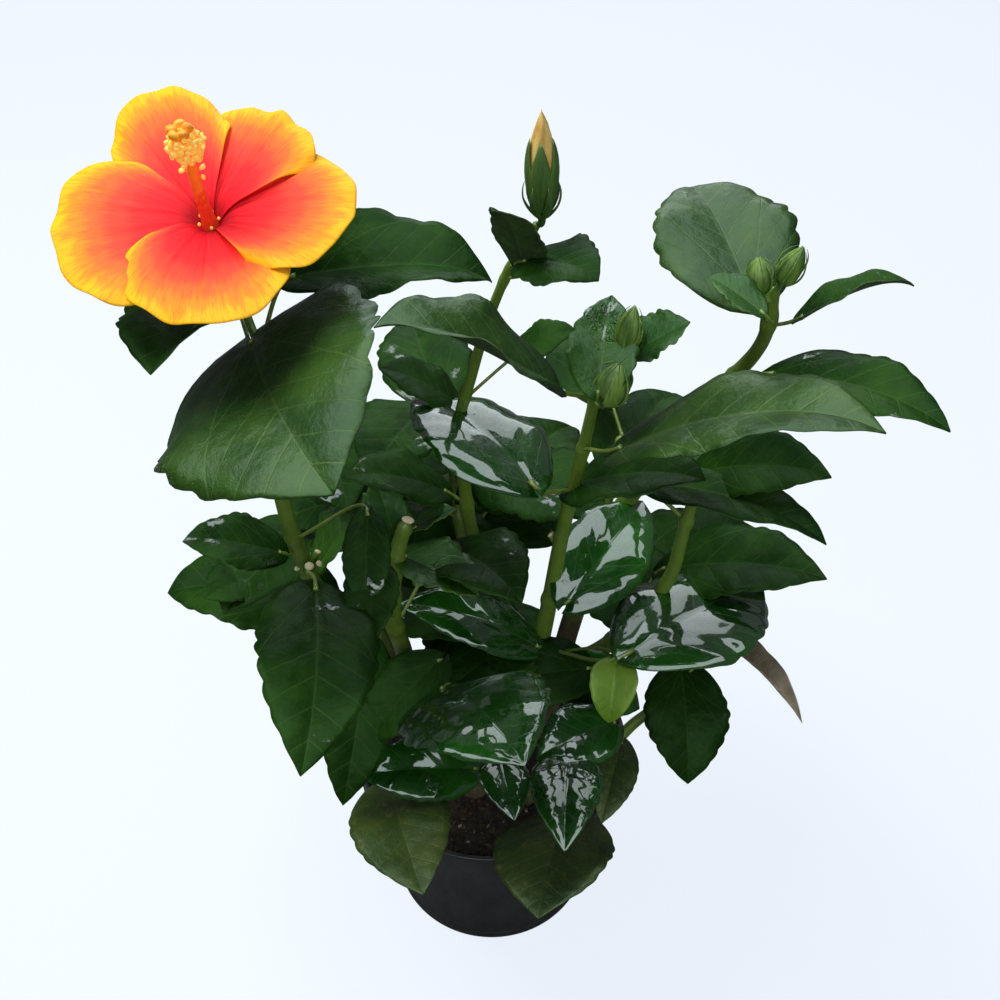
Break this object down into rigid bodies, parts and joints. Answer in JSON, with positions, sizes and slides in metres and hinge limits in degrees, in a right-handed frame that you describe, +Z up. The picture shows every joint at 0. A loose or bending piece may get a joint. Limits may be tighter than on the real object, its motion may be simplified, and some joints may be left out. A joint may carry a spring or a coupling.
{
  "type": "potted hibiscus shrub",
  "caption": "Young hibiscus shrub in a tapered nursery pot, with ovate leaves on upright canes, an open bloom facing up and to the front, and buds.",
  "frame": {"origin": "centre of the pot's flat underside, on the ground it stands on", "axes": "+Z up; the viewer of the front stands on the -Y side, with +X on the right; the open bloom is on the -X side"},
  "size_m": [0.2951, 0.2786, 0.4349],
  "materials": {
    "pot_plastic": "satin black moulded plastic",
    "soil": "damp dark potting mix, loose and crumbly",
    "bark": "green cane, turning to brown ridged bark at the foot",
    "leaf": "deep green leaf, glossy and wet in places, paler veins",
    "petal": "silky petal, crimson throat through coral to golden yellow rim",
    "column": "waxy red column with orange-yellow anthers",
    "calyx": "matte green sepals with fine down"
  },
  "bodies": {
    "root": {"pot": "pot_plastic", "soil": "soil", "stem_left": "bark", "stem_centre": "bark", "stem_right": "bark", "stem_front_left": "bark", "stem_front_right": "bark", "limb_left_pruned": "bark", "limb_left_rear": "bark", "limb_bud": "bark", "limb_rear": "bark", "limb_right_low": "bark", "limb_right_rear": "bark", "limb_side": "bark", "bloom_petals": "petal", "bloom_column": "column", "bloom_calyx": "calyx", "bud_tall": "calyx", "bud_centre": "calyx", "bud_right": "calyx", "foliage_left": "leaf", "foliage_centre": "leaf", "foliage_right": "leaf", "foliage_front_left": "leaf", "foliage_front_right": "leaf", "foliage_bud": "leaf", "foliage_right_low": "leaf", "foliage_side": "leaf", "foliage_left_pruned": "leaf", "foliage_left_rear": "leaf", "foliage_right_rear": "leaf", "foliage_rear": "leaf"}
  },
  "joints": []
}
